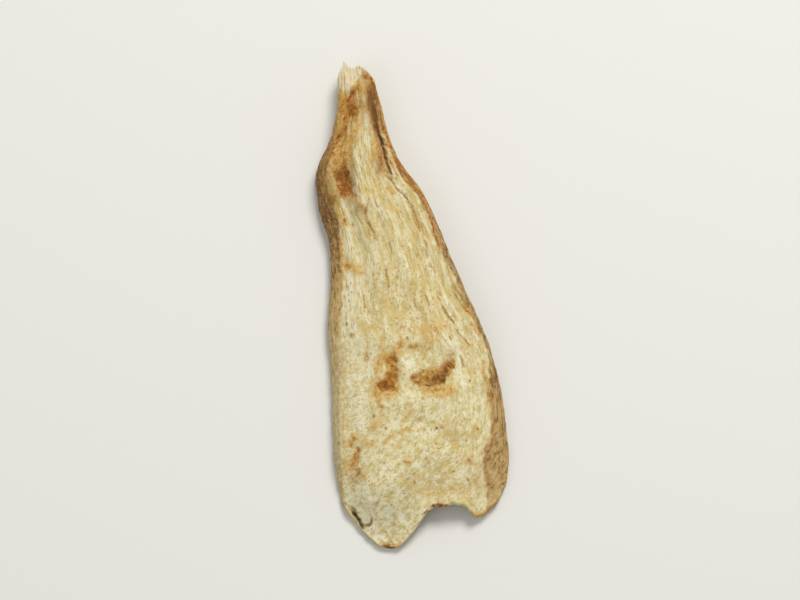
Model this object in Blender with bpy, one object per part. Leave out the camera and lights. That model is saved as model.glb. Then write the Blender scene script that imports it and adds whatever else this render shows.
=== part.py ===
"""A dried slice of porcini mushroom, as one solid.

The slice was cut lengthways from the mushroom and dried. It lies on its back: the pale cut face is
on top, the brown skin runs down both sides, the torn tip of the neck points along +Y and the broad
lower end, with its tongue, notch and tooth, along -Y. Drying has arched it, so that it stands on
its two rims with a shallow hollow under it.

Every cross-section is one closed loop: outer skin on the left, cut face, outer skin on the right,
and the hollow back. The loops are bridged along the slice and zipped shut at both ends. Across runs
from -1 at the left skin to 1 at the right, and along from 0 at the lower end to 1 at the tip.
"""

import bpy
import bmesh
import numpy as np

MM = 0.001

# Resolution: loops along the slice, and steps round each loop.
LOOPS = 72
FACE_STEPS = 26
FLANK_STEPS = 3
RIM_STEPS = 2

# Outline in millimetres, at stations along y: the outermost skin and the edge of the cut face,
# on the left and on the right.
STATIONS = [6.0, 9.5, 15.0, 23.5, 32.5, 40.5, 47.0, 54.5, 62.5, 68.8, 74.5, 80.0, 84.6]
LEFT_SKIN = [-13.3, -13.6, -13.6, -12.7, -11.8, -11.2, -9.8, -9.1, -10.1, -9.4, -5.9, -4.0, -3.3]
LEFT_FACE = [-12.6, -12.7, -12.4, -11.2, -10.1, -9.2, -7.6, -6.6, -7.6, -7.7, -4.9, -3.7, -2.9]
RIGHT_FACE = [12.8, 13.2, 14.0, 15.6, 16.2, 14.3, 12.1, 10.0, 7.6, 4.7, 3.3, 2.9, 2.6]
RIGHT_SKIN = [16.8, 17.7, 18.1, 18.2, 17.1, 14.9, 13.2, 11.5, 9.0, 5.9, 4.5, 4.0, 3.3]

# Heights in millimetres at the same stations: the crest of the face, its two edges, the roof of
# the hollow, and how far each rim has curled up off the surface, or is pressed flat on it.
CREST = [5.6, 6.3, 7.0, 7.7, 7.8, 7.5, 7.1, 6.9, 7.1, 7.3, 7.2, 6.6, 5.8]
LEFT_EDGE = [3.4, 3.7, 4.0, 4.3, 4.4, 4.5, 4.6, 4.8, 5.2, 5.4, 5.2, 4.9, 4.6]
RIGHT_EDGE = [3.4, 3.5, 3.7, 4.0, 4.5, 5.0, 5.3, 5.4, 5.3, 5.3, 5.2, 5.0, 4.6]
HOLLOW = [3.0, 3.2, 3.3, 3.5, 3.6, 3.5, 3.3, 3.1, 2.7, 2.4, 2.6, 2.9, 3.0]
LEFT_LIFT = [-0.2, -0.3, -0.4, -0.3, 0.0, 0.5, 0.8, 0.5, -0.3, -0.3, 0.7, 1.5, 2.2]
RIGHT_LIFT = [-0.2, -0.3, -0.4, -0.2, 0.4, 1.0, 1.1, 0.6, -0.3, -0.2, 0.9, 1.7, 2.3]

# The lower end, from left to right: tongue, notch and tooth.
LOWER_END = [
    (-13.3, 6.0), (-12.1, 4.0), (-11.0, 1.5), (-9.6, -0.4), (-8.4, -2.1), (-7.1, -3.0),
    (-5.4, -3.3), (-4.2, -2.9), (-2.5, -1.4), (-1.0, 0.6), (1.1, 2.5), (2.1, 3.4),
    (4.2, 3.7), (5.5, 3.2), (6.2, 3.6), (7.5, 2.8), (8.9, 2.4), (9.3, 0.9),
    (10.4, 0.4), (11.9, 0.7), (13.2, 1.6), (15.0, 3.6), (16.8, 6.0),
]
# How high its underside stands above the surface, and how thick its edge is.
LOWER_LIFT = [
    (-13.3, 0.1), (-9.0, -0.1), (-5.4, -0.1), (-2.5, 1.1), (1.1, 2.6), (4.2, 3.1),
    (7.5, 2.8), (9.0, 1.8), (11.0, 0.0), (13.5, -0.2), (16.8, 0.0),
]
LOWER_EDGE = [(-13.3, 1.6), (-5.4, 1.2), (4.0, 1.1), (9.0, 1.7), (12.0, 2.2), (16.8, 2.2)]
LOWER_REACH = 11.0

# The torn tip, from left to right, with its spur.
TIP = [
    (-3.3, 84.6), (-2.6, 86.2), (-1.9, 86.9), (-1.2, 88.2), (-0.8, 87.3), (-0.1, 86.1),
    (0.6, 86.4), (1.3, 86.6), (2.1, 85.5), (2.8, 85.9), (3.3, 84.6),
]
TIP_LIFT = 2.8
TIP_EDGE = 2.0
TIP_REACH = 5.0

# The section: how full the face, the hollow and the flanks are, the height of the widest point, and
# the rim that the slice stands on, which is a rounded corner and then a flat strip.
FACE_FULLNESS = 2.6
HOLLOW_FULLNESS = 2.2
FLANK_FULLNESS = 1.3
SIDE_HEIGHT = 1.5
RIM_ROUND = 0.9
RIM_FLAT = 1.1

# Height of the rolled lip along the upper right edge, at the stations.
LIP = [0.0, 0.0, 0.0, 0.0, 0.0, 0.1, 0.4, 0.8, 1.0, 1.0, 0.9, 0.8, 0.5]

# Relief of the face in millimetres: each line is (its points, half width, height).
CREST_LINE = [(1.1, 82.0), (0.6, 76.0), (-0.9, 72.4), (-2.0, 68.6), (-2.4, 64.5), (-2.2, 60.0)]
LIP_GROOVE = [(2.3, 86.0), (2.6, 80.0), (2.4, 76.0), (3.4, 71.5), (3.7, 67.5), (3.9, 64.6)]
LIP_CRACK = [(3.9, 64.6), (4.4, 62.8), (6.2, 60.0), (7.2, 57.6), (7.9, 54.0), (8.0, 51.5)]
LEFT_PIT = [(-1.4, 29.8), (-1.0, 27.6), (-1.2, 25.8), (-2.8, 25.0)]
RIGHT_PIT = [(2.8, 25.8), (5.0, 25.4), (7.4, 26.6), (9.3, 28.4), (10.0, 30.2)]
RELIEF = [
    (CREST_LINE, 1.6, 1.1),
    ([(-1.6, 81.5), (-2.2, 78.5), (-2.9, 75.6), (-4.4, 73.2)], 1.1, -0.7),
    ([(-7.0, 69.0), (-7.4, 66.0), (-6.9, 63.0)], 1.6, 0.9),
    ([(-4.9, 66.4), (-4.3, 64.0)], 1.4, -1.5),
    (LIP_GROOVE, 0.8, -1.2),
    (LIP_CRACK, 0.7, -0.8),
    (LEFT_PIT, 1.2, -1.2),
    (RIGHT_PIT, 1.4, -1.5),
    ([(-0.2, 32.6), (3.2, 33.6), (8.0, 32.2)], 2.2, 0.5),
    ([(0.9, 30.0), (1.2, 27.4)], 1.4, 0.4),
    ([(-3.6, 22.0), (1.6, 21.4), (7.2, 22.0)], 2.2, 0.4),
    ([(-4.6, 60.0), (-3.4, 50.0), (-4.4, 40.0)], 1.3, -0.5),
    ([(1.6, 60.0), (3.4, 50.0), (5.0, 40.0)], 1.3, 0.45),
    ([(8.6, 48.0), (10.4, 43.0), (12.2, 38.0)], 1.2, -0.5),
    ([(12.4, 42.2), (13.4, 40.0), (14.0, 38.4)], 0.7, -0.6),
    ([(10.8, 37.8), (11.8, 36.0), (13.6, 32.0)], 0.8, -0.5),
    ([(-9.3, 14.6), (-10.9, 12.0), (-10.6, 8.6)], 1.2, -0.5),
    ([(2.4, 17.6), (6.0, 14.0), (10.4, 12.6)], 1.8, -0.45),
    ([(-6.2, -0.8), (-5.2, -3.2)], 0.8, -0.35),
]
# Relief of the hollow back: furrows and a ridge that run with the fibres.
BACK_RELIEF = [
    ([(-6.0, 10.0), (-4.6, 30.0), (-3.2, 52.0)], 1.8, -0.5),
    ([(2.0, 8.0), (2.6, 28.0), (1.0, 50.0), (-0.8, 70.0)], 1.6, 0.5),
    ([(9.6, 12.0), (9.4, 30.0), (6.0, 50.0)], 1.8, -0.5),
]


def at_station(values, station):
    """Smooth curve through the values at the stations: cubic between two, with slopes from both sides."""
    place, value = np.array(STATIONS), np.array(values)
    slope = np.gradient(value, place)
    station = np.clip(station, place[0], place[-1])
    i = np.clip(np.searchsorted(place, station) - 1, 0, len(place) - 2)
    step = place[i + 1] - place[i]
    t = (station - place[i]) / step
    return (
        (1 + 2 * t) * (1 - t) ** 2 * value[i]
        + t * (1 - t) ** 2 * step * slope[i]
        + t**2 * (3 - 2 * t) * value[i + 1]
        + t**2 * (t - 1) * step * slope[i + 1]
    )


def straight(points, at):
    """Straight lines from point to point."""
    return np.interp(at, *np.transpose(points))


def ease(t):
    """0 below 0, 1 above 1, and a smooth step between."""
    t = np.clip(t, 0, 1)
    return t * t * (3 - 2 * t)


def blend(left_values, right_values, share, station):
    """Between a value for the left side and one for the right, by the share of the way across."""
    return at_station(left_values, station) * (1 - share) + at_station(right_values, station) * share


def away_from(line, x, y):
    """Distance in plan from each point to a line of several points."""
    nearest = np.full(np.shape(x), np.inf)
    for (ax, ay), (bx, by) in zip(line, line[1:]):
        dx, dy = bx - ax, by - ay
        t = np.clip(((x - ax) * dx + (y - ay) * dy) / (dx * dx + dy * dy), 0, 1)
        nearest = np.minimum(nearest, np.hypot(x - ax - t * dx, y - ay - t * dy))
    return nearest


def relief(lines, x, y):
    """Soft ridges and furrows: each is its height times a bell curve of the distance to its line."""
    return sum(height * np.exp(-((away_from(line, x, y) / width) ** 2)) for line, width, height in lines)


def station_of(along):
    return STATIONS[0] + along * (STATIONS[-1] - STATIONS[0])


def plan(across, along):
    """The place in plan. Between the two sides it is straight across, pushed along by the shape of the
    lower end and of the tip, each in proportion to its nearness."""
    share, station = (across + 1) / 2, station_of(along)
    low_x = LEFT_SKIN[0] + share * (RIGHT_SKIN[0] - LEFT_SKIN[0])
    tip_x = LEFT_SKIN[-1] + share * (RIGHT_SKIN[-1] - LEFT_SKIN[-1])
    low_y, tip_y = straight(LOWER_END, low_x), straight(TIP, tip_x)
    y = station + (1 - along) * (low_y - STATIONS[0]) + along * (tip_y - STATIONS[-1])
    return blend(LEFT_SKIN, RIGHT_SKIN, share, station), y, low_x, y - low_y, tip_y - y


def settle(height, edge_share, low_x, from_low, from_tip):
    """Brings a height down to its place in the blunt edge of each end: 0 for the edge's underside, 1 for
    its top."""
    low = straight(LOWER_LIFT, low_x) + edge_share * straight(LOWER_EDGE, low_x)
    tip = TIP_LIFT + edge_share * TIP_EDGE
    height = low + (height - low) * ease(from_low / LOWER_REACH)
    return tip + (height - tip) * ease(from_tip / TIP_REACH)


def face_edges(along):
    """Where the cut face begins and ends, as places across."""
    station = station_of(along)
    left, right = at_station(LEFT_SKIN, station), at_station(RIGHT_SKIN, station)
    edges = at_station(LEFT_FACE, station), at_station(RIGHT_FACE, station)
    return [2 * (edge - left) / (right - left) - 1 for edge in edges]


def face(share, along):
    """The cut face: a shallow dome from its left edge (share 0) to its right edge (share 1), with its
    relief."""
    left, right = face_edges(along)
    station = station_of(along)
    x, y, *place = plan(left + share * (right - left), along)
    edge = blend(LEFT_EDGE, RIGHT_EDGE, share, station)
    dome = 1 - np.abs(2 * share - 1) ** FACE_FULLNESS
    z = edge + (at_station(CREST, station) - edge) * dome + relief(RELIEF, x, y)
    return np.stack([x, y, settle(z, 1, *place)], axis=-1)


def side_height(side, across, along):
    """Height of the widest point of a side."""
    x, y, *place = plan(across, along)
    lift = blend(LEFT_LIFT, RIGHT_LIFT, (side + 1) / 2, station_of(along))
    return settle(lift + SIDE_HEIGHT, 0.5, *place)


def flank(side, turn, along):
    """The skin from the edge of the face (turn 0) out and down to the widest point (turn 1), swollen on
    the right by the rolled lip."""
    edge = face_edges(along)[(side + 1) // 2]
    angle = turn * np.pi / 2
    across = edge + (side - edge) * np.sin(angle) ** FLANK_FULLNESS
    x, y, *_ = plan(across, along)
    top = face((side + 1) / 2 + 0 * turn, along)[..., 2]
    foot = side_height(side, across, along)
    z = foot + (top - foot) * np.cos(angle) ** FLANK_FULLNESS
    if side > 0:
        z = z + at_station(LIP, station_of(along)) * np.sin(np.pi * turn) ** 2
    return np.stack([x, y, z], axis=-1)


def inward(depth, along):
    """The place across that lies a depth inside the widest point, on the right side."""
    station = station_of(along)
    return 1 - 2 * depth / (at_station(RIGHT_SKIN, station) - at_station(LEFT_SKIN, station))


def underside(across, along):
    """The back: the arched hollow between the two flat strips of the rims, no lower than the surface."""
    x, y, *place = plan(across, along)
    station = station_of(along)
    lift = blend(LEFT_LIFT, RIGHT_LIFT, (across + 1) / 2, station)
    hollow = np.minimum(np.abs(across) / inward(RIM_ROUND + RIM_FLAT, along), 1)
    depth = at_station(HOLLOW, station) - lift + relief(BACK_RELIEF, x, y)
    z = lift + depth * (1 - hollow**HOLLOW_FULLNESS)
    return np.stack([x, y, np.maximum(settle(z, 0, *place), 0)], axis=-1)


def rim(side, turn, along):
    """The quarter round from the widest point (turn 1) in to the flat strip (turn 0)."""
    angle = turn * np.pi / 2
    inner = inward(RIM_ROUND, along)
    across = side * (inner + (1 - inner) * np.sin(angle))
    points = underside(across, along)
    foot = side_height(side, across, along)
    points[..., 2] += (foot - points[..., 2]) * (1 - np.cos(angle))
    return points


def loops(along):
    """The cross-sections, each from the left side's widest point over the top to the right, and back
    beneath."""
    up = np.linspace(0, 1, FLANK_STEPS + 1)
    round_steps = np.linspace(0, 1, RIM_STEPS + 1)[1:-1]
    hollow_steps = FACE_STEPS + 2 * FLANK_STEPS - 2 * RIM_STEPS - 2
    strip, hollow = inward(RIM_ROUND, along), inward(RIM_ROUND + RIM_FLAT, along)
    beneath = np.hstack([strip, hollow * np.linspace(1, -1, hollow_steps + 1), -strip])
    return np.concatenate(
        [
            flank(-1, up[:0:-1], along),
            face(np.linspace(0, 1, FACE_STEPS + 1), along),
            flank(1, up[1:], along),
            rim(1, round_steps[::-1], along),
            underside(beneath, along),
            rim(-1, round_steps, along),
        ],
        axis=1,
    )


def slice_mesh():
    """Bridges the loops, zips the first and the last one shut, top point to bottom point, and puts the
    middle of the base at the origin."""
    bm = bmesh.new()
    edges = []
    for points in loops(np.linspace(0, 1, LOOPS + 1)[:, None]):
        verts = [bm.verts.new(point * MM) for point in points]
        edges.append([bm.edges.new(pair) for pair in zip(verts, verts[1:] + verts[:1])])
        if len(edges) in (1, LOOPS + 1):
            for i in range(len(verts) // 2):
                corners = [verts[i], verts[i + 1], verts[-i - 1], verts[-i]]
                bm.faces.new(list(dict.fromkeys(corners)))
    for near, far in zip(edges, edges[1:]):
        bmesh.ops.bridge_loops(bm, edges=near + far)
    bmesh.ops.recalc_face_normals(bm, faces=bm.faces)
    low = np.min([vert.co for vert in bm.verts], axis=0)
    high = np.max([vert.co for vert in bm.verts], axis=0)
    bmesh.ops.translate(bm, verts=bm.verts, vec=(-(low[0] + high[0]) / 2, -(low[1] + high[1]) / 2, 0))
    mesh = bpy.data.meshes.new("mushroom_slice")
    bm.to_mesh(mesh)
    bm.free()
    mesh.shade_smooth()
    return mesh


def dried_flesh():
    material = bpy.data.materials.new("dried_flesh")
    material.use_nodes = True
    shader = material.node_tree.nodes["Principled BSDF"]
    shader.inputs["Base Color"].default_value = (0.66, 0.55, 0.33, 1)
    shader.inputs["Roughness"].default_value = 0.85
    shader.inputs["Metallic"].default_value = 0
    return material


for old in list(bpy.data.objects):
    bpy.data.objects.remove(old)
piece = bpy.data.objects.new("mushroom_slice", slice_mesh())
piece.data.materials.append(dried_flesh())
bpy.context.scene.collection.objects.link(piece)
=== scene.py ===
"""A dried slice of porcini mushroom on a plain pale floor.

The slice's own lengths are in millimetres until they reach Blender, which takes metres. In its plan, x
runs across from its left skin to its right, and y along it from the notched lower end to the torn tip.
"""

import math

import bpy
import numpy as np
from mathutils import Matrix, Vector


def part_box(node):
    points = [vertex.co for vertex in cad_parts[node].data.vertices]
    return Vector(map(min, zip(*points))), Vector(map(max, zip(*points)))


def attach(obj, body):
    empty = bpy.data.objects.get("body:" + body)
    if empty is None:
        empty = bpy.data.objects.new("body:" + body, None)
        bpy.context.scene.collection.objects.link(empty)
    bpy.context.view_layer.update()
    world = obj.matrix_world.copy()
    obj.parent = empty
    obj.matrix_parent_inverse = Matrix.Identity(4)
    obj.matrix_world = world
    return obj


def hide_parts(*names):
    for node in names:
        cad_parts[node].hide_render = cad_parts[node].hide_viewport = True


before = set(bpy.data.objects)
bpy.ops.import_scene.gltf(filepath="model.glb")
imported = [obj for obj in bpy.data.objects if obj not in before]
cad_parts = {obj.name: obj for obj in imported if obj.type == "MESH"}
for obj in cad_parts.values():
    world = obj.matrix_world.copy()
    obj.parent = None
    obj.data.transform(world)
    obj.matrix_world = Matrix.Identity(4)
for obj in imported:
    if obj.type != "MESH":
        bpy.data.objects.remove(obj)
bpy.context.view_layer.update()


# The camera looks down on the slice as the photographer did, and a little from its left.
VIEW_AZIMUTH = math.radians(-8)
VIEW_ELEVATION = math.radians(75)
VIEW_DISTANCE = 1.0125
LENS = 250
SENSOR_WIDTH = 36
NEAREST_SEEN = 0.01
LOOK_AT = Vector((0.0, -0.0005, 0.003))


def direction(azimuth, elevation):
    """Unit vector towards the viewer: azimuth 0 and elevation 0 stands at the lower end and looks along
    the slice, and a greater azimuth walks round it anticlockwise as seen from above."""
    level = math.cos(elevation)
    return Vector((math.sin(azimuth) * level, -math.cos(azimuth) * level, math.sin(elevation)))


def aim(thing, place, target):
    """Puts a camera or lamp at a place and turns it to its target, with its top side up."""
    thing.location = place
    thing.rotation_euler = (target - place).to_track_quat("-Z", "Y").to_euler()


camera = bpy.data.objects.new("camera", bpy.data.cameras.new("camera"))
camera.data.lens = LENS
camera.data.sensor_width = SENSOR_WIDTH
camera.data.clip_start = NEAREST_SEEN
aim(camera, LOOK_AT + VIEW_DISTANCE * direction(VIEW_AZIMUTH, VIEW_ELEVATION), LOOK_AT)
bpy.context.scene.collection.objects.link(camera)
bpy.context.scene.camera = camera


# The floor is a wide plain sheet of pale matt board, lit by a large soft lamp from the upper right, a
# weaker one opposite, and an even white sky.
FLOOR_COLOUR = (0.76, 0.76, 0.735, 1)
FLOOR_HALF = 1.5
SKY = (0.99, 0.98, 0.96, 1)
SKY_STRENGTH = 0.45
LAMPS = [
    # name, azimuth, elevation, distance, width, watts, colour
    ("key", 148, 52, 0.9, 0.4, 6.0, (1.0, 0.98, 0.94)),
    ("fill", -60, 42, 1.1, 0.8, 1.2, (1.0, 0.98, 0.95)),
]

bpy.ops.mesh.primitive_plane_add(size=2 * FLOOR_HALF)
floor = bpy.context.object
floor.name = "floor"
board = bpy.data.materials.new("pale_board")
board.use_nodes = True
board_shader = board.node_tree.nodes["Principled BSDF"]
board_shader.inputs["Base Color"].default_value = FLOOR_COLOUR
board_shader.inputs["Roughness"].default_value = 0.75
board_shader.inputs["Specular IOR Level"].default_value = 0.25
floor.data.materials.append(board)

for name, azimuth, elevation, distance, width, watts, colour in LAMPS:
    lamp = bpy.data.objects.new(name, bpy.data.lights.new(name, "AREA"))
    lamp.data.shape = "DISK"
    lamp.data.size = width
    lamp.data.energy = watts
    lamp.data.color = colour
    aim(lamp, distance * direction(math.radians(azimuth), math.radians(elevation)), Vector((0, 0, 0)))
    bpy.context.scene.collection.objects.link(lamp)

world = bpy.data.worlds.new("soft_sky")
world.use_nodes = True
world.node_tree.nodes["Background"].inputs["Color"].default_value = SKY
world.node_tree.nodes["Background"].inputs["Strength"].default_value = SKY_STRENGTH
bpy.context.scene.world = world
bpy.context.scene.view_settings.view_transform = "Standard"


# The slice is one piece of dried mushroom flesh, with a pale, fibrous cut face, brown skin down both
# sides, a torn neck end and a broken lower end. It was cut lengthways and dried, which arched and
# wrinkled it.

MM = 0.001

# Its outline and heights at stations along y. Skin and face are the places across of the widest point
# and of the cut face's edge, lift is the height of the rim, and lip the swelling of the right skin.
STATIONS = [6.0, 9.5, 15.0, 23.5, 32.5, 40.5, 47.0, 54.5, 62.5, 68.8, 74.5, 80.0, 84.6]
LEFT_SKIN = [-13.3, -13.6, -13.6, -12.7, -11.8, -11.2, -9.8, -9.1, -10.1, -9.4, -5.9, -4.0, -3.3]
LEFT_FACE = [-12.6, -12.7, -12.4, -11.2, -10.1, -9.2, -7.6, -6.6, -7.6, -7.7, -4.9, -3.7, -2.9]
RIGHT_FACE = [12.8, 13.2, 14.0, 15.6, 16.2, 14.3, 12.1, 10.0, 7.6, 4.7, 3.3, 2.9, 2.6]
RIGHT_SKIN = [16.8, 17.7, 18.1, 18.2, 17.1, 14.9, 13.2, 11.5, 9.3, 6.1, 4.5, 4.0, 3.3]
CREST = [5.6, 6.3, 7.0, 7.7, 7.8, 7.5, 7.1, 6.9, 7.1, 7.3, 7.2, 6.6, 5.8]
LEFT_EDGE = [3.4, 3.7, 4.0, 4.3, 4.4, 4.5, 4.6, 4.8, 5.2, 5.4, 5.2, 4.9, 4.6]
RIGHT_EDGE = [3.4, 3.5, 3.7, 4.0, 4.5, 5.0, 5.3, 5.4, 5.3, 5.3, 5.2, 5.0, 4.6]
HOLLOW = [3.0, 3.2, 3.3, 3.5, 3.6, 3.5, 3.3, 3.1, 2.7, 2.4, 2.6, 2.9, 3.0]
LEFT_LIFT = [-0.2, -0.3, -0.4, -0.3, 0.0, 0.5, 0.8, 0.5, -0.3, -0.3, 0.7, 1.5, 2.2]
RIGHT_LIFT = [-0.2, -0.3, -0.4, -0.2, 0.4, 1.0, 1.1, 0.6, -0.3, -0.2, 0.9, 1.7, 2.3]
LIP = [0.0, 0.0, 0.0, 0.0, 0.0, 0.1, 0.4, 0.8, 1.0, 1.0, 0.9, 0.8, 0.5]

# The lower end with its tongue, notch and tooth, the height of its underside, and its edge's thickness.
LOWER_END = [
    (-13.3, 6.0), (-12.1, 4.0), (-11.0, 1.5), (-9.6, -0.4), (-8.4, -2.1), (-7.1, -3.0),
    (-5.4, -3.2), (-4.4, -3.1), (-3.4, -2.5), (-1.6, -1.2), (-0.8, -0.2), (0.0, 0.6), (1.3, 1.9),
    (2.0, 2.6), (2.8, 2.7), (3.9, 3.0), (4.7, 2.6), (5.4, 2.7), (6.1, 2.95), (7.2, 2.7), (8.9, 2.2),
    (9.2, 1.9), (9.4, 0.8), (10.2, 0.3), (11.4, 0.4), (12.6, 0.9), (14.7, 2.9), (16.8, 6.0),
]
LOWER_LIFT = [
    (-13.3, 0.1), (-9.0, -0.1), (-5.4, -0.1), (-2.5, 1.1), (1.1, 2.6), (4.2, 3.1),
    (7.5, 2.8), (9.0, 1.8), (11.0, 0.0), (13.5, -0.2), (16.8, 0.0),
]
LOWER_EDGE = [(-13.3, 1.6), (-5.4, 1.2), (4.0, 1.1), (9.0, 1.7), (12.0, 2.2), (16.8, 2.2)]
LOWER_REACH = 11.0

# The torn tip with its spur.
TIP = [
    (-3.3, 84.9), (-3.0, 86.1), (-2.5, 86.9), (-2.1, 87.4), (-1.8, 88.4), (-1.4, 87.4), (-0.7, 86.8),
    (0.1, 86.6), (0.9, 86.9), (1.6, 86.5), (2.3, 85.5), (2.9, 84.7), (3.3, 83.8),
]
TIP_LIFT = 2.8
TIP_EDGE = 2.0
TIP_REACH = 5.0

# How far the torn edges of both ends stray from their outline, and how short the stretch is that does.
RAGGED_DEPTH = 0.25
RAGGED_TIP_SHARE = 0.6
RAGGED_WAVE = 1.5
RAGGED_POWER = 30

# The section's shape: powers of its curves, and its sizes at the sides.
FACE_FULLNESS = 2.6
HOLLOW_FULLNESS = 2.2
FLANK_FULLNESS = 1.3
SIDE_HEIGHT = 1.5
RIM_ROUND = 0.9
RIM_FLAT = 1.1

# The grid: steps across the face, down each side, round each rim, and rows along the slice and round
# the blunt edge of each end. The rows stand closer together towards the ends.
FACE_STEPS = 126
FLANK_STEPS = 18
RIM_STEPS = 6
ROWS = 296
END_ROWS = 4
ROW_CROWDING = 0.3
END_BULGE = 0.35

# Relief of the cut face and of the back: each ridge or furrow is its points, half width and height.
CREST_LINE = [(1.1, 82.0), (0.6, 76.0), (-0.9, 72.4), (-2.0, 68.6), (-2.4, 64.5), (-2.2, 60.0)]
LIP_GROOVE = [(2.3, 86.0), (2.6, 80.0), (2.4, 76.0), (3.4, 71.5), (3.7, 67.5), (3.9, 64.6)]
LIP_CRACK = [(3.9, 66.8), (4.2, 63.2), (4.9, 61.9), (6.6, 60.3), (7.2, 57.6), (7.9, 54.0), (8.0, 51.5)]
LEFT_PIT = [(-1.4, 29.8), (-1.0, 27.6), (-1.2, 25.8), (-2.8, 25.0)]
RIGHT_PIT = [(2.8, 25.8), (5.0, 25.4), (7.4, 26.6), (9.3, 28.4), (10.0, 30.2)]
RELIEF = [
    (CREST_LINE, 1.6, 1.1),
    ([(-1.6, 81.5), (-2.2, 78.5), (-2.9, 75.6), (-4.4, 73.2)], 1.1, -0.7),
    ([(-7.0, 69.0), (-7.4, 66.0), (-6.9, 63.0)], 1.6, 0.9),
    ([(-4.9, 66.4), (-4.3, 64.0)], 1.4, -1.5),
    (LIP_GROOVE, 0.8, -1.2),
    (LIP_CRACK, 0.7, -0.8),
    (LEFT_PIT, 1.2, -1.2),
    (RIGHT_PIT, 1.4, -1.5),
    ([(-0.2, 32.6), (3.2, 33.6), (8.0, 32.2)], 2.2, 0.5),
    ([(0.9, 30.0), (1.2, 27.4)], 1.4, 0.4),
    ([(-3.6, 22.0), (1.6, 21.4), (7.2, 22.0)], 2.2, 0.4),
    ([(-4.6, 60.0), (-3.4, 50.0), (-4.4, 40.0)], 1.3, -0.5),
    ([(1.6, 60.0), (3.4, 50.0), (5.0, 40.0)], 1.3, 0.45),
    ([(8.6, 48.0), (10.4, 43.0), (12.2, 38.0)], 1.2, -0.5),
    ([(12.4, 42.2), (13.4, 40.0), (14.0, 38.4)], 0.7, -0.6),
    ([(10.8, 37.8), (11.8, 36.0), (13.6, 32.0)], 0.8, -0.5),
    ([(-9.3, 14.6), (-10.9, 12.0), (-10.6, 8.6)], 1.2, -0.5),
    ([(2.4, 17.6), (6.0, 14.0), (10.4, 12.6)], 1.8, -0.45),
    ([(-6.2, -0.8), (-5.2, -3.2)], 0.8, -0.35),
]
BACK_RELIEF = [
    ([(-6.0, 10.0), (-4.6, 30.0), (-3.2, 52.0)], 1.8, -0.5),
    ([(2.0, 8.0), (2.6, 28.0), (1.0, 50.0), (-0.8, 70.0)], 1.6, 0.5),
    ([(9.6, 12.0), (9.4, 30.0), (6.0, 50.0)], 1.8, -0.5),
]


def at_station(values, station):
    """Smooth curve through the values at the stations: a cubic between two, with slopes from both."""
    place, value = np.array(STATIONS), np.array(values)
    slope = np.gradient(value, place)
    station = np.clip(station, place[0], place[-1])
    i = np.clip(np.searchsorted(place, station) - 1, 0, len(place) - 2)
    step = place[i + 1] - place[i]
    t = (station - place[i]) / step
    return (
        (1 + 2 * t) * (1 - t) ** 2 * value[i]
        + t * (1 - t) ** 2 * step * slope[i]
        + t**2 * (3 - 2 * t) * value[i + 1]
        + t**2 * (t - 1) * step * slope[i + 1]
    )


def straight(points, at):
    """Straight lines from point to point."""
    return np.interp(at, *np.transpose(points))


def ease(t):
    """0 below 0, 1 above 1, and a smooth step between."""
    t = np.clip(t, 0, 1)
    return t * t * (3 - 2 * t)


def zone(value, outside, inside):
    """0 on the outer side of one value, 1 on the inner side of another, and a smooth step between."""
    return ease((value - outside) / (inside - outside))


SLOPES = np.random.default_rng(41).uniform(-1, 1, (64, 64, 64, 3))


def noise(place, size, seed):
    """Smooth noise of about -1 to 1: every corner of a lattice with cells of this size has a fixed
    random slope, and the value is what the eight slopes of a cell say, blended with eased weights."""
    at = place / size + 7.31 * seed
    cell = np.floor(at).astype(int)
    inside = at - cell
    weight = inside**3 * (6 * inside**2 - 15 * inside + 10)
    total = np.zeros(at.shape[:-1])
    for corner in np.ndindex(2, 2, 2):
        index = (cell + corner) % 64
        slope = SLOPES[index[..., 0], index[..., 1], index[..., 2]]
        share = np.prod(np.where(corner, weight, 1 - weight), axis=-1)
        total += share * np.sum(slope * (inside - corner), axis=-1)
    return 1.8 * total


def layered(place, size, seed, layers=3):
    """Noise with finer noise on it: each layer has half the size and 0.6 of the height of the last."""
    size = np.array(size, float)
    return sum(0.6**k * noise(place, size / 2**k, seed + k) for k in range(layers))


def bell(distance, width):
    """Bell curve: e to the power of minus the square of distance over width."""
    return np.exp(-((distance / width) ** 2))


def creases(place, size, seed):
    """Narrow valleys where smooth noise passes zero, broken into stretches by a second noise: 1 in a
    valley, 0 a little away from it."""
    broken = ease(1.6 * noise(place, np.array(size) * 1.4, seed + 50) + 0.5)
    return broken * bell(noise(place, size, seed), 0.16)


def holes(place, spacing, radius, seed):
    """Small round holes: each cell of a lattice has one, at a fixed random place and up to this radius.
    1 at its middle, 0 beyond it."""
    at = place / spacing + 3.7 * seed
    cell = np.floor(at).astype(int)
    deepest = np.zeros(at.shape[:-1])
    for offset in np.ndindex(3, 3, 3):
        index = cell + offset - 1
        spot = SLOPES[tuple(np.moveaxis(index % 64, -1, 0))] / 2 + 0.5
        away = np.linalg.norm((index + spot - at) * spacing, axis=-1)
        deepest = np.maximum(deepest, 1 - away / (radius * (0.15 + spot[..., 0] * spot[..., 1])))
    return ease(deepest)


def away_from(line, x, y):
    """Distance in plan from each point to a line of several points."""
    nearest = np.full(np.shape(x), np.inf)
    for (ax, ay), (bx, by) in zip(line, line[1:]):
        dx, dy = bx - ax, by - ay
        t = np.clip(((x - ax) * dx + (y - ay) * dy) / (dx * dx + dy * dy), 0, 1)
        nearest = np.minimum(nearest, np.hypot(x - ax - t * dx, y - ay - t * dy))
    return nearest


def relief(lines, x, y):
    """Soft ridges and furrows: each is its height times a bell curve of the distance to its line."""
    return sum(height * bell(away_from(line, x, y), width) for line, width, height in lines)


def station_of(along):
    """The station at a share of the way from the first (0) to the last (1)."""
    return STATIONS[0] + along * (STATIONS[-1] - STATIONS[0])


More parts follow.
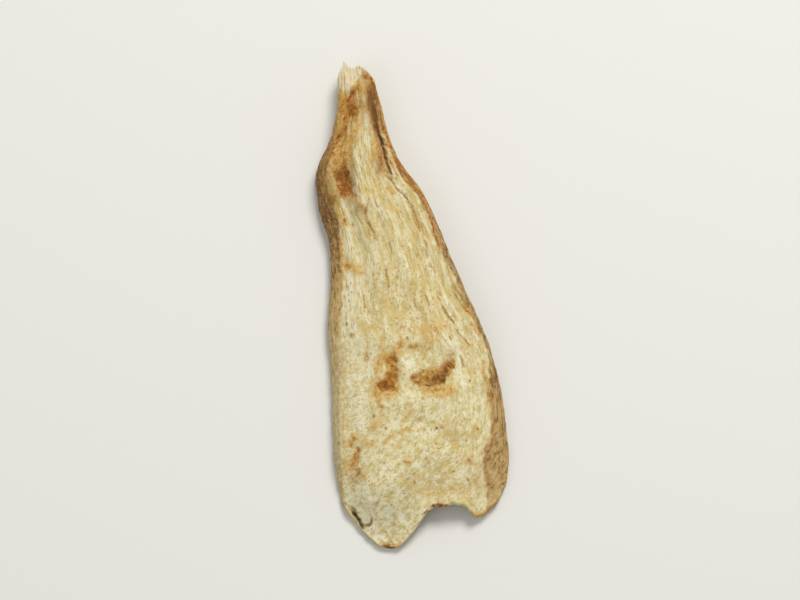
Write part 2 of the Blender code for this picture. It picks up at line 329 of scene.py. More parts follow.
def blend(left_values, right_values, share, station):
    """Between a value for the left side and one for the right, by the share of the way across."""
    return at_station(left_values, station) * (1 - share) + at_station(right_values, station) * share


def ragged(x, seed):
    """How far the torn edge of an end strays from its outline: short waves with shorter ones on them."""
    return RAGGED_DEPTH * layered(np.stack([x, 0 * x, 0 * x], axis=-1), RAGGED_WAVE, seed)


def plan(across, along):
    """The place in plan, with the outline's place across at the lower end, and the distances along
    from the lower end and from the tip. Between the two sides it is straight across, pushed along by
    the shape of each end in proportion to its nearness, with the torn edges close to them."""
    share, station = (across + 1) / 2, station_of(along)
    low_x = LEFT_SKIN[0] + share * (RIGHT_SKIN[0] - LEFT_SKIN[0])
    tip_x = LEFT_SKIN[-1] + share * (RIGHT_SKIN[-1] - LEFT_SKIN[-1])
    low_y, tip_y = straight(LOWER_END, low_x), straight(TIP, tip_x)
    y = station + (1 - along) * (low_y - STATIONS[0]) + along * (tip_y - STATIONS[-1])
    y = y + (1 - along) ** RAGGED_POWER * ragged(low_x, 11)
    y = y + along**RAGGED_POWER * ragged(tip_x, 12) * RAGGED_TIP_SHARE
    return blend(LEFT_SKIN, RIGHT_SKIN, share, station), y, low_x, y - low_y, tip_y - y


def settle(height, edge_share, low_x, from_low, from_tip):
    """Brings a height down to its place in the blunt edge of each end: 0 for the edge's underside, 1
    for its top."""
    low = straight(LOWER_LIFT, low_x) + edge_share * straight(LOWER_EDGE, low_x)
    tip = TIP_LIFT + edge_share * TIP_EDGE
    height = low + (height - low) * ease(from_low / LOWER_REACH)
    return tip + (height - tip) * ease(from_tip / TIP_REACH)


def face_edges(along):
    """Where the cut face begins and ends, as places across."""
    station = station_of(along)
    left, right = at_station(LEFT_SKIN, station), at_station(RIGHT_SKIN, station)
    edges = at_station(LEFT_FACE, station), at_station(RIGHT_FACE, station)
    return [2 * (edge - left) / (right - left) - 1 for edge in edges]


def face(share, along):
    """The cut face: a shallow dome from its left edge (share 0) to its right edge (share 1), with its
    relief."""
    left, right = face_edges(along)
    station = station_of(along)
    x, y, *place = plan(left + share * (right - left), along)
    edge = blend(LEFT_EDGE, RIGHT_EDGE, share, station)
    dome = 1 - np.abs(2 * share - 1) ** FACE_FULLNESS
    z = edge + (at_station(CREST, station) - edge) * dome + relief(RELIEF, x, y)
    return np.stack([x, y, settle(z, 1, *place)], axis=-1)


def side_height(side, across, along):
    """Height of the widest point of a side."""
    place = plan(across, along)[2:]
    lift = blend(LEFT_LIFT, RIGHT_LIFT, (side + 1) / 2, station_of(along))
    return settle(lift + SIDE_HEIGHT, 0.5, *place)


def flank(side, turn, along):
    """The skin from the edge of the face (turn 0) out and down to the widest point (turn 1), swollen on
    the right by the rolled lip."""
    edge = face_edges(along)[(side + 1) // 2]
    angle = turn * np.pi / 2
    across = edge + (side - edge) * np.sin(angle) ** FLANK_FULLNESS
    x, y = plan(across, along)[:2]
    top = face((side + 1) / 2 + 0 * turn, along)[..., 2]
    foot = side_height(side, across, along)
    z = foot + (top - foot) * np.cos(angle) ** FLANK_FULLNESS
    if side > 0:
        z = z + at_station(LIP, station_of(along)) * np.sin(np.pi * turn) ** 2
    return np.stack([x, y, z], axis=-1)


def inward(depth, along):
    """The place across that lies a depth inside the widest point, on the right side."""
    station = station_of(along)
    return 1 - 2 * depth / (at_station(RIGHT_SKIN, station) - at_station(LEFT_SKIN, station))


def underside(across, along):
    """The back: the arched hollow between the two flat strips of the rims, no lower than the floor."""
    x, y, *place = plan(across, along)
    station = station_of(along)
    lift = blend(LEFT_LIFT, RIGHT_LIFT, (across + 1) / 2, station)
    hollow = np.minimum(np.abs(across) / inward(RIM_ROUND + RIM_FLAT, along), 1)
    depth = at_station(HOLLOW, station) - lift + relief(BACK_RELIEF, x, y)
    z = lift + depth * (1 - hollow**HOLLOW_FULLNESS)
    return np.stack([x, y, np.maximum(settle(z, 0, *place), 0)], axis=-1)


def rim(side, turn, along):
    """The quarter round from the widest point (turn 1) in to the flat strip (turn 0)."""
    angle = turn * np.pi / 2
    inner = inward(RIM_ROUND, along)
    across = side * (inner + (1 - inner) * np.sin(angle))
    points = underside(across, along)
    foot = side_height(side, across, along)
    points[..., 2] += (foot - points[..., 2]) * (1 - np.cos(angle))
    return points


# The smooth body first: rows of cross-sections, each from the left side's widest point over the top to
# the right, which is HALF the steps round, and back beneath.
even = np.linspace(0, 1, ROWS + 1)[:, None]
along = even - ROW_CROWDING * np.sin(2 * np.pi * even) / (2 * np.pi)
up = np.linspace(0, 1, FLANK_STEPS + 1)
face_share = np.linspace(0, 1, FACE_STEPS + 1)
rim_turn = np.linspace(0, 1, RIM_STEPS + 1)[1:-1]
HALF = FACE_STEPS + 2 * FLANK_STEPS
strip, hollow_edge = inward(RIM_ROUND, along), inward(RIM_ROUND + RIM_FLAT, along)
beneath = np.hstack([strip, hollow_edge * np.linspace(1, -1, HALF - 2 * RIM_STEPS - 1), -strip])
smooth = np.concatenate(
    [
        flank(-1, up[:0:-1], along),
        face(face_share, along),
        flank(1, up[1:], along),
        rim(1, rim_turn[::-1], along),
        underside(beneath, along),
        rim(-1, rim_turn, along),
    ],
    axis=1,
)
RING = smooth.shape[1]
x, y = smooth[..., 0], smooth[..., 1]

# How far round the section each point is: on the cut face, on top of the slice or beneath it.
ring = np.arange(RING)
from_side = np.minimum(ring, HALF - ring) / FLANK_STEPS
on_face = zone(from_side, 0.55, 1.05)
below = ease(np.minimum(ring - HALF - 1, RING - 1 - ring) / RIM_STEPS)
above = 1 - below
right_side = zone(x, 3, 7)

# The lower edge of the right pit, how far up from it the pit reaches, and the run of the left one.
RIGHT_PIT_EDGE = [
    (2.2, 25.0), (3.3, 24.7), (4.4, 24.2), (5.4, 24.1), (6.4, 24.4), (7.5, 24.3), (8.3, 24.8),
    (9.0, 25.7), (9.8, 26.9), (10.4, 27.7),
]
RIGHT_PIT_HIGH = [
    (2.2, 1.2), (3.3, 2.0), (4.5, 2.9), (5.4, 3.2), (6.4, 2.9), (7.5, 2.9), (8.3, 2.9), (9.0, 2.5),
    (9.8, 1.8), (10.4, 0.8),
]
RIGHT_PIT_LEFT_END = (2.0, 2.5)
RIGHT_PIT_RIGHT_END = (10.7, 10.2)
LEFT_PIT_LINE = [(-1.2, 29.8), (-1.2, 28.2), (-1.5, 26.8), (-2.0, 25.6), (-3.2, 25.5)]
LEFT_PIT_WIDTH = 0.7
LEFT_PIT_DEPTH = 0.35
RIGHT_PIT_DEPTH = 0.5
PIT_JAG = 0.42
PIT_JAG_WAVE = 0.8
PIT_GRIT = 0.3
PIT_GRIT_SIZE = 1.1

# A dark crack runs down between the neck's crest and its rolled right edge, and on as a thin one.
NECK_CRACK = [(2.6, 75.0), (2.8, 73.4), (3.2, 71.8), (3.2, 69.8), (3.4, 67.8), (3.7, 66.2), (3.9, 65.2)]
SIDE_CRACK = [
    (2.8, 64.8), (3.4, 64.3), (3.8, 63.8), (4.2, 62.9), (4.7, 62.0), (5.4, 61.2), (6.1, 60.3),
    (6.4, 59.5), (6.8, 58.5), (7.1, 57.3), (7.5, 55.6), (7.7, 54.0),
]
LIP_LEDGE = [(4.0, 78.0), (4.2, 74.8), (4.9, 71.3), (5.9, 68.3), (7.6, 65.4), (9.6, 60.0), (11.0, 55.0)]

# Fine features cut into the face, sharper than its relief: points, half width, height.
CUTS = [
    (LIP_CRACK, 0.7, 0.6),
    (LIP_GROOVE, 0.8, 0.75),
    ([(3.8, 67.4), (3.9, 65.6), (4.0, 64.2)], 0.8, 0.45),
    (NECK_CRACK, 0.35, -0.4),
    (SIDE_CRACK, 0.25, -0.22),
    (CREST_LINE, 1.2, 0.35),
    ([(1.9, 80.0), (1.5, 74.0), (1.6, 69.0), (1.2, 64.0)], 0.9, -0.35),
    ([(-2.9, 82.0), (-4.2, 76.0), (-6.4, 71.0), (-7.4, 67.0), (-7.0, 62.5)], 0.8, 0.35),
    ([(-1.4, 81.0), (-2.2, 77.5), (-4.0, 74.0)], 0.9, -0.5),
    ([(-4.9, 66.4), (-4.3, 64.0)], 1.4, 0.5),
    (LIP_LEDGE, 0.35, 0.35),
    ([(-11.7, 4.3), (-11.2, 3.1), (-10.8, 1.5), (-10.7, 0.4)], 0.4, -0.5),
    ([(-10.6, 1.7), (-9.6, 1.2), (-8.7, 1.5), (-8.4, 2.3)], 0.2, -0.25),
    ([(12.6, 41.6), (13.3, 40.0), (13.8, 39.0)], 0.3, -0.4),
    ([(10.9, 37.6), (11.6, 36.3)], 0.3, -0.3),
    ([(-9.3, 14.5), (-10.9, 12.1)], 0.4, -0.4),
    ([(11.3, 30.9), (11.3, 29.0)], 0.3, -0.3),
]

# Cuts and marks stray a little from their lines, so that none runs too evenly.
STRAY = 0.3
STRAY_WAVE = 1.6
across_stray = STRAY * layered(smooth, STRAY_WAVE, 21)
along_stray = STRAY * layered(smooth, STRAY_WAVE, 25)
stray_x, stray_y = x + across_stray, y + along_stray
raised = above * relief(CUTS, stray_x, stray_y)

# The pits have a jagged outline and a granular floor. The soft relief round them is filled up to it.
# over_edge is how far a point lies above the right pit's lower edge, and right_slope is 1 at that edge
# and 0 at the pit's top.
jag = PIT_JAG * layered(smooth, PIT_JAG_WAVE, 27)
over_edge = y + 0.6 * along_stray + jag - straight(RIGHT_PIT_EDGE, stray_x)
in_reach = zone(stray_x, *RIGHT_PIT_LEFT_END) * zone(stray_x, *RIGHT_PIT_RIGHT_END)
pit_top = straight(RIGHT_PIT_HIGH, stray_x)
in_right_pit = in_reach * ease(over_edge / 0.8 + 0.6) * ease((pit_top - over_edge + jag) / 1.0 + 0.6)
right_slope = np.clip((pit_top - over_edge) / np.maximum(pit_top, 0.5), 0, 1)
in_left_pit = ease(1.7 - (away_from(LEFT_PIT_LINE, stray_x, stray_y) + jag) / LEFT_PIT_WIDTH)
in_pits = np.maximum(in_right_pit, in_left_pit)
grit = layered(smooth, PIT_GRIT_SIZE, 9)
raised += on_face * relief([(RIGHT_PIT, 1.4, 1.4)], x, y)
raised += on_face * (1.1 - 0.3 * in_left_pit) * relief([(LEFT_PIT, 1.2, 1.0)], x, y)
right_depth = RIGHT_PIT_DEPTH * right_slope - PIT_GRIT * grit * ease(3 * right_slope)
raised -= on_face * in_reach * ease(over_edge / 0.6) * right_depth
raised += on_face * (PIT_GRIT * grit - LEFT_PIT_DEPTH) * in_left_pit
smooth[..., 2] += raised
z = smooth[..., 2]

# The fibres run along the slice and fan out from the neck into the broad part, so their pattern is read
# across in a coordinate that is squeezed where the slice is narrow. Low on the face they slant.
FAN_WIDTH = 28.0
FAN_POWER = 0.6
SLANT = 0.7
SLANT_ZONE = (32, 6)
SLANT_CENTRE = 20.0
width = at_station(RIGHT_SKIN, y) - at_station(LEFT_SKIN, y)
middle = (at_station(RIGHT_SKIN, y) + at_station(LEFT_SKIN, y)) / 2
wander = 0.6 * noise(smooth, [6, 9, 6], 14) + 0.22 * noise(smooth, [2, 3.5, 2], 15)
fan = (x - middle) * (FAN_WIDTH / width) ** FAN_POWER + wander
slant = SLANT * zone(y, *SLANT_ZONE)
across_fibre = fan * np.cos(slant) - (y - SLANT_CENTRE) * np.sin(slant)
along_fibre = fan * np.sin(slant) + (y - SLANT_CENTRE) * np.cos(slant)
fibre = np.stack([across_fibre, along_fibre, z], axis=-1)

# The surface then rises and sinks along its normal, and straight up and down on the back, where the
# points lie too close together for anything else.
by_row = np.gradient(smooth, axis=0)
by_ring = np.roll(smooth, -1, axis=1) - np.roll(smooth, 1, axis=1)
normal = np.cross(by_ring, by_row)
normal /= np.linalg.norm(normal, axis=-1, keepdims=True) + 1e-12
normal += (np.array([0, 0, -1]) - normal) * below[:, None]

# Fibres show most in the neck and along the right edge, and least in the broad lower part.
fibrous = zone(y, 16, 46) * (0.55 + 0.45 * zone(y, 52, 66))
fibrous = np.clip(fibrous + 0.35 * right_side * zone(y, 26, 34), 0, 1)
strands = -creases(fibre, [2.2, 14, 3], 1) - 0.6 * creases(fibre, [1.5, 8, 3], 2)
threads = layered(fibre, [1.3, 7, 1.5], 3)
lumps = layered(smooth, [6, 8, 6], 4)
granules = layered(smooth, [1.1, 1.3, 1.1], 5)
pores = holes(fibre * [1, 0.6, 0.6], 1.9, 0.8, 6)
wrinkles = layered(fibre * [1.3, 1, 1], [1.1, 7, 1.1], 7) - 0.8 * creases(fibre, [1.3, 9, 1.0], 8)
folds = 0.14 * layered(fibre, [1.0, 9, 2], 17) - 0.12 * creases(fibre, [1.2, 8, 2], 18)

# On the right, the edge is folded half way up, the skin is smooth low down, and the neck is smoother.
folded = right_side * zone(y, 28, 34) * zone(y, 66, 60)
wrinkled = 0.15 - 0.11 * right_side * zone(y, 30, 22)
smoother = 1 - 0.65 * right_side * zone(y, 50, 60)

# Each kind of fine relief is as high as this, in millimetres, where it shows in full.
fine = (
    on_face * fibrous * smoother * (0.10 * strands + 0.09 * threads)
    + on_face * (1 - fibrous) * (0.03 * threads + 0.03 * strands)
    + on_face * (0.05 * granules - 0.12 * pores)
    + on_face * folded * folds
    + below * (0.12 * strands + 0.10 * threads + 0.05 * granules - 0.15 * pores)
    + (1 - on_face) * above * smoother * (wrinkled * wrinkles + 0.07 * granules)
)
height = fine + 0.17 * lumps * np.maximum(on_face * smoother, below)

# Close to the floor the slice stays as it is, so that its strips lie flat.
height *= zone(z, 0, 1.2)
surface = smooth + normal * height[..., None]
surface[..., 2] = np.maximum(surface[..., 2], 0)


def rounded_end(edge_row, outward):
    """The blunt edge of an end: rows that turn a quarter circle from the last section, whose upper and
    lower points close up on the line midway between them, bulged outward."""
    partner = edge_row[(-np.arange(RING)) % RING]
    mid = (edge_row + partner) / 2
    rows = []
    for step in range(1, END_ROWS + 1):
        turn = step / END_ROWS * np.pi / 2
        row = mid + (edge_row - mid) * np.cos(turn)
        row[:, 1] += outward * END_BULGE * np.sin(turn)
        rows.append(row)
    return rows


ends_low = rounded_end(surface[0], -1)
ends_high = rounded_end(surface[-1], 1)
points = np.concatenate([ends_low[::-1], surface, ends_high])
source_row = np.clip(np.arange(len(points)) - END_ROWS, 0, ROWS)


def fitted(points, low, high):
    """Shifts the points to lie midway between two corners and on the same base, and shrinks them by
    the ratio of the boxes' sizes in each direction where they would reach out."""
    own_low, own_high = points.min(axis=(0, 1)), points.max(axis=(0, 1))
    own_middle, middle = (own_low + own_high) / 2, (low + high) / 2
    own_middle[2], middle[2] = own_low[2], low[2]
    return middle + (points - own_middle) * np.minimum((high - low) / (own_high - own_low), 1)


cad_low, cad_high = (np.array(corner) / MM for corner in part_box("mushroom_slice"))
points = fitted(points, cad_low, cad_high)

# Faces join each point to the next in its row and the next row. In the first and last row, where the
# section has closed to a line, a point and its partner are one.
index = np.arange(points.shape[0] * RING).reshape(points.shape[:2])
for closed in (0, -1):
    index[closed] = np.minimum(index[closed], index[closed][(-ring) % RING])
corners = np.stack([index[:-1], index[1:], np.roll(index[1:], -1, 1), np.roll(index[:-1], -1, 1)], -1)
corners = corners.reshape(-1, 4)[:, ::-1]
used, corners = np.unique(corners, return_inverse=True)
corners = corners.reshape(-1, 4)
mesh = bpy.data.meshes.new("mushroom_slice_flesh")
mesh.from_pydata((points.reshape(-1, 3)[used] * MM).tolist(), [], corners.tolist())
mesh.validate()
mesh.shade_smooth()

# The marks on the face and along its edges: each is its points, half width and strength. First come
# ochre patches, spots and edges.
OCHRE_MARKS = [
    ([(-2.8, 81.6), (-3.4, 79.0), (-3.6, 76.0), (-4.6, 73.0), (-5.6, 70.0), (-6.4, 67.6)], 1.5, 0.95),
    ([(-3.4, 81.4), (-3.4, 77.6)], 0.7, 0.5),
    ([(-6.6, 59.0), (-5.8, 57.2)], 0.7, 0.55),
    ([(0.4, 57.8), (-0.2, 55.2)], 0.35, 0.6),
    ([(1.5, 71.0), (1.3, 69.2)], 0.6, 0.45),
    ([(0.2, 83.6), (-0.2, 81.5), (-0.8, 78.0), (-1.2, 75.0), (-2.6, 72.0), (-4.0, 69.4)], 0.9, 0.8),
    ([(-4.4, 69.0), (-4.8, 66.0), (-4.6, 63.2)], 1.2, 0.9),
    ([(-6.6, 70.4), (-7.6, 68.4), (-8.4, 66.4), (-8.1, 64.2), (-7.1, 62.0)], 0.7, 0.9),
    ([(0.9, 82.4), (0.9, 80.6)], 0.4, 0.45),
    ([(1.0, 78.4), (1.1, 77.5)], 0.45, 0.9),
    ([(1.8, 85.0), (2.4, 83.6), (2.2, 81.6)], 0.9, 0.8),
    ([(3.4, 84.4), (3.5, 81.0), (3.6, 77.0), (3.9, 74.0), (4.4, 71.5)], 0.65, 0.9),
    ([(1.8, 81.0), (2.0, 77.0), (2.0, 74.0), (2.3, 71.0), (2.5, 68.0), (2.6, 65.5)], 0.6, 0.85),
    ([(4.2, 71.4), (4.2, 69.0), (4.5, 67.0)], 0.6, 0.6),
    ([(3.1, 62.2), (3.6, 61.4)], 0.6, 0.8),
    ([(1.4, 65.6), (1.3, 65.0)], 0.4, 0.5),
    ([(0.9, 63.9), (0.9, 63.2)], 0.45, 0.6),
    ([(-2.9, 60.0), (-2.7, 58.0)], 0.3, 0.7),
    ([(-6.6, 62.0), (-6.4, 59.6), (-6.4, 56.9), (-7.0, 53.3), (-7.6, 47.0)], 0.35, 0.8),
    ([(-4.3, 61.5), (-2.4, 59.5), (-1.5, 58.4)], 0.5, 0.6),
    ([(-6.5, 49.2), (-5.4, 48.5), (-4.3, 47.8)], 0.8, 0.9),
    ([(-6.8, 49.4), (-5.7, 49.4)], 0.4, 0.8),
    ([(6.4, 34.7), (8.0, 34.3), (9.7, 35.0)], 0.35, 0.8),
    ([(1.0, 32.3), (0.3, 30.9), (-0.8, 30.1)], 0.5, 0.8),
    ([(-1.0, 30.2), (-0.9, 28.3), (-1.6, 27.0)], 0.8, 0.9),
    ([(-2.2, 30.8), (-3.5, 29.8), (-3.9, 28.2)], 0.35, 0.7),
    ([(-3.6, 25.6), (-2.2, 25.8), (-1.6, 24.9)], 1.3, 0.95),
    ([(1.2, 32.9), (-0.4, 32.0), (-1.8, 30.8), (-3.0, 30.2)], 1.0, 0.55),
    ([(-3.4, 29.6), (-3.8, 27.6), (-4.4, 25.6)], 0.9, 0.5),
    ([(-4.6, 24.8), (-4.8, 23.0), (-4.1, 21.6)], 0.6, 0.6),
    ([(-4.4, 23.4), (-3.0, 23.7), (-1.3, 23.9)], 1.0, 0.75),
    ([(4.4, 23.4), (6.3, 23.2), (8.8, 22.8)], 1.0, 0.9),
    ([(7.6, 21.9), (6.6, 21.6)], 0.4, 0.6),
    ([(3.0, 31.9), (5.6, 31.2)], 0.5, 0.35),
    ([(-7.5, 35.9), (-7.4, 35.8)], 0.5, 0.9),
    ([(1.6, 35.8), (1.8, 35.7)], 0.4, 0.9),
    ([(2.8, 31.9), (3.4, 31.7)], 0.6, 0.8),
    ([(5.2, 31.8), (7.4, 32.6), (6.0, 34.2)], 1.0, 0.35),
    ([(-5.4, 31.6), (-5.4, 31.1)], 0.5, 0.9),
    ([(1.3, 20.2), (-0.7, 18.1)], 0.4, 0.7),
    ([(0.3, 16.8), (-2.3, 16.1), (-4.4, 15.0)], 0.4, 0.6),
    ([(-5.8, 15.6), (-7.7, 14.9)], 0.4, 0.8),
    ([(-6.0, 18.2), (-5.9, 18.0)], 0.5, 0.7),
    ([(-3.9, 21.3), (-3.9, 19.8)], 0.35, 0.4),
    ([(-1.2, 10.8), (-0.8, 10.6)], 0.4, 1.0),
    ([(-2.3, 8.6), (-2.0, 8.2)], 0.5, 0.6),
    ([(2.0, 7.0), (2.1, 6.8)], 0.4, 0.6),
    ([(7.0, 16.6), (8.6, 13.6)], 0.7, 0.4),
    ([(3.4, 5.0), (8.4, 5.0), (12.4, 5.6)], 1.6, 0.28),
    ([(9.6, 10.6), (10.4, 9.4)], 0.8, 0.45),
    ([(12.4, 16.4), (11.1, 11.2), (10.2, 7.5)], 0.3, 0.5),
    ([(-9.7, 17.2), (-10.4, 16.0)], 0.6, 0.8),
    ([(-9.3, 14.6), (-10.0, 13.4), (-10.8, 12.0)], 0.55, 0.9),
    ([(-9.6, 14.6), (-10.6, 12.0), (-9.8, 10.2), (-8.9, 9.0)], 0.7, 0.6),
    ([(-11.0, 22.6), (-11.6, 17.8), (-12.0, 13.2), (-12.8, 10.1), (-13.4, 7.7)], 0.25, 0.6),
    ([(15.6, 28.0), (15.3, 25.7), (15.9, 23.8), (15.7, 20.8)], 0.4, 0.8),
    ([(13.2, 42.9), (14.6, 37.0), (15.6, 33.1)], 0.3, 0.7),
    ([(-7.2, 0.6), (-6.0, -1.3), (-5.2, -3.2)], 0.25, 0.7),
    ([(-9.0, -2.4), (-7.6, -3.2)], 0.35, 0.5),
    ([(-5.4, -3.3), (-4.4, -3.2)], 0.4, 0.7),
    ([(9.1, 1.2), (9.6, 0.4), (10.8, 0.2), (12.6, 1.0), (13.6, 2.4)], 0.35, 0.65),
]

# Rusty spots and lines, mostly in the neck, round the pits and low on the left.
RUST_MARKS = [
    ([(0.0, 82.8), (-0.7, 81.9), (-1.5, 81.1), (-2.0, 80.3)], 0.36, 1.0),
    ([(-2.1, 79.6), (-1.9, 78.5)], 1.0, 1.0),
    ([(-2.4, 81.0), (-3.0, 77.0), (-4.0, 73.0), (-5.6, 69.6), (-6.6, 66.6)], 1.2, 0.18),
    ([(-1.5, 79.2), (-0.9, 78.4)], 0.5, 0.7),
    ([(-2.0, 78.0), (-1.5, 77.3)], 0.5, 0.9),
    ([(-0.9, 77.8), (-0.8, 77.4)], 0.3, 0.9),
    ([(-2.9, 78.6), (-2.8, 77.8)], 0.4, 0.5),
    ([(-3.1, 77.2), (-3.2, 76.6)], 0.25, 0.6),
    ([(-3.2, 75.5), (-3.6, 74.8)], 0.5, 0.8),
    ([(-4.3, 74.2), (-4.9, 73.6)], 0.5, 1.0),
    ([(-5.2, 73.0), (-5.8, 72.2), (-6.4, 71.3), (-7.0, 70.2)], 0.3, 0.8),
    ([(-5.9, 66.5), (-4.4, 66.4)], 0.75, 1.0),
    ([(-5.6, 65.8), (-4.6, 65.0), (-4.8, 63.8)], 1.2, 1.0),
    ([(-5.9, 64.2), (-5.8, 63.2)], 0.6, 0.85),
    ([(-4.8, 64.0), (-4.7, 62.8)], 0.8, 0.95),
    ([(-4.2, 65.0), (-4.0, 63.2), (-3.6, 61.6)], 0.3, 0.8),
    ([(-5.3, 62.6), (-5.1, 62.1)], 0.35, 0.7),
    ([(-4.2, 70.0), (-4.3, 67.4)], 0.35, 0.45),
    ([(-3.2, 81.2), (-3.3, 78.0)], 0.6, 0.3),
    ([(-5.8, 70.4), (-6.0, 68.8)], 0.6, 0.35),
    ([(2.5, 68.4), (2.6, 67.2)], 0.45, 0.6),
    ([(2.4, 26.4), (2.7, 25.4), (3.4, 25.0)], 0.35, 0.9),
    ([(-3.6, 25.6), (-2.6, 25.9), (-1.7, 25.2)], 0.75, 1.0),
    ([(-1.6, 26.8), (-1.9, 25.4)], 0.6, 0.9),
    ([(-1.3, 29.8), (-1.1, 28.4), (-1.4, 27.0)], 0.5, 0.65),
    ([(6.2, 23.6), (6.4, 23.5)], 0.35, 0.45),
    ([(8.5, 22.5), (8.7, 22.3)], 0.3, 0.35),
    ([(5.0, 23.5), (5.6, 23.0)], 0.35, 0.35),
    ([(0.0, 31.0), (-0.8, 30.4)], 0.35, 0.45),
    ([(-3.0, 30.0), (-3.3, 29.6)], 0.35, 0.4),
    ([(-6.4, 49.3), (-5.8, 49.2)], 0.25, 0.5),
    ([(-7.2, -2.9), (-6.2, -3.0)], 0.45, 1.0),
    ([(-9.3, 14.6), (-10.0, 13.4), (-10.9, 11.9)], 0.4, 0.55),
    ([(-9.7, 16.9), (-10.2, 16.4)], 0.4, 0.5),
    ([(-9.6, 11.0), (-9.8, 10.2)], 0.45, 0.6),
    ([(-9.1, 9.3), (-8.9, 9.0)], 0.25, 0.5),
    ([(-10.9, 9.8), (-10.7, 8.9)], 0.4, 0.5),
    ([(12.3, 41.1), (13.6, 38.7), (14.5, 37.0)], 0.18, 0.9),
    ([(14.4, 35.2), (15.4, 32.9)], 0.18, 0.7),
    ([(15.4, 15.6), (14.6, 13.4), (13.7, 11.8), (13.3, 9.0), (13.3, 5.4)], 0.5, 0.4),
    ([(15.4, 24.4), (15.5, 22.6), (15.9, 20.6)], 0.4, 0.55),
]

# The two rusty lines of the rolled right edge: along its inner side and along its outer side.
LIP_INNER = [
    (2.8, 84.6), (3.1, 83.0), (3.4, 81.0), (3.5, 79.0), (3.6, 77.0), (3.7, 75.4), (4.0, 74.0),
    (4.3, 72.5), (4.6, 70.9), (4.8, 69.0), (5.2, 67.0), (5.8, 65.0), (6.4, 63.8), (7.1, 62.8),
    (7.8, 61.6), (8.7, 60.0), (9.2, 58.5), (9.6, 57.0), (10.0, 55.0), (10.2, 52.5), (10.7, 50.5),
]
LIP_OUTER = [
    (5.7, 68.4), (6.1, 66.6), (6.8, 65.2), (7.2, 64.0), (7.9, 62.4), (8.7, 61.2), (9.5, 60.0),
    (10.0, 58.5), (10.6, 56.8), (11.2, 54.8), (12.0, 52.0), (12.7, 49.6), (13.3, 47.2), (13.9, 44.4),
]
LIP_LINES = [(LIP_INNER, 0.22, 1.0), (LIP_OUTER, 0.26, 0.95)]

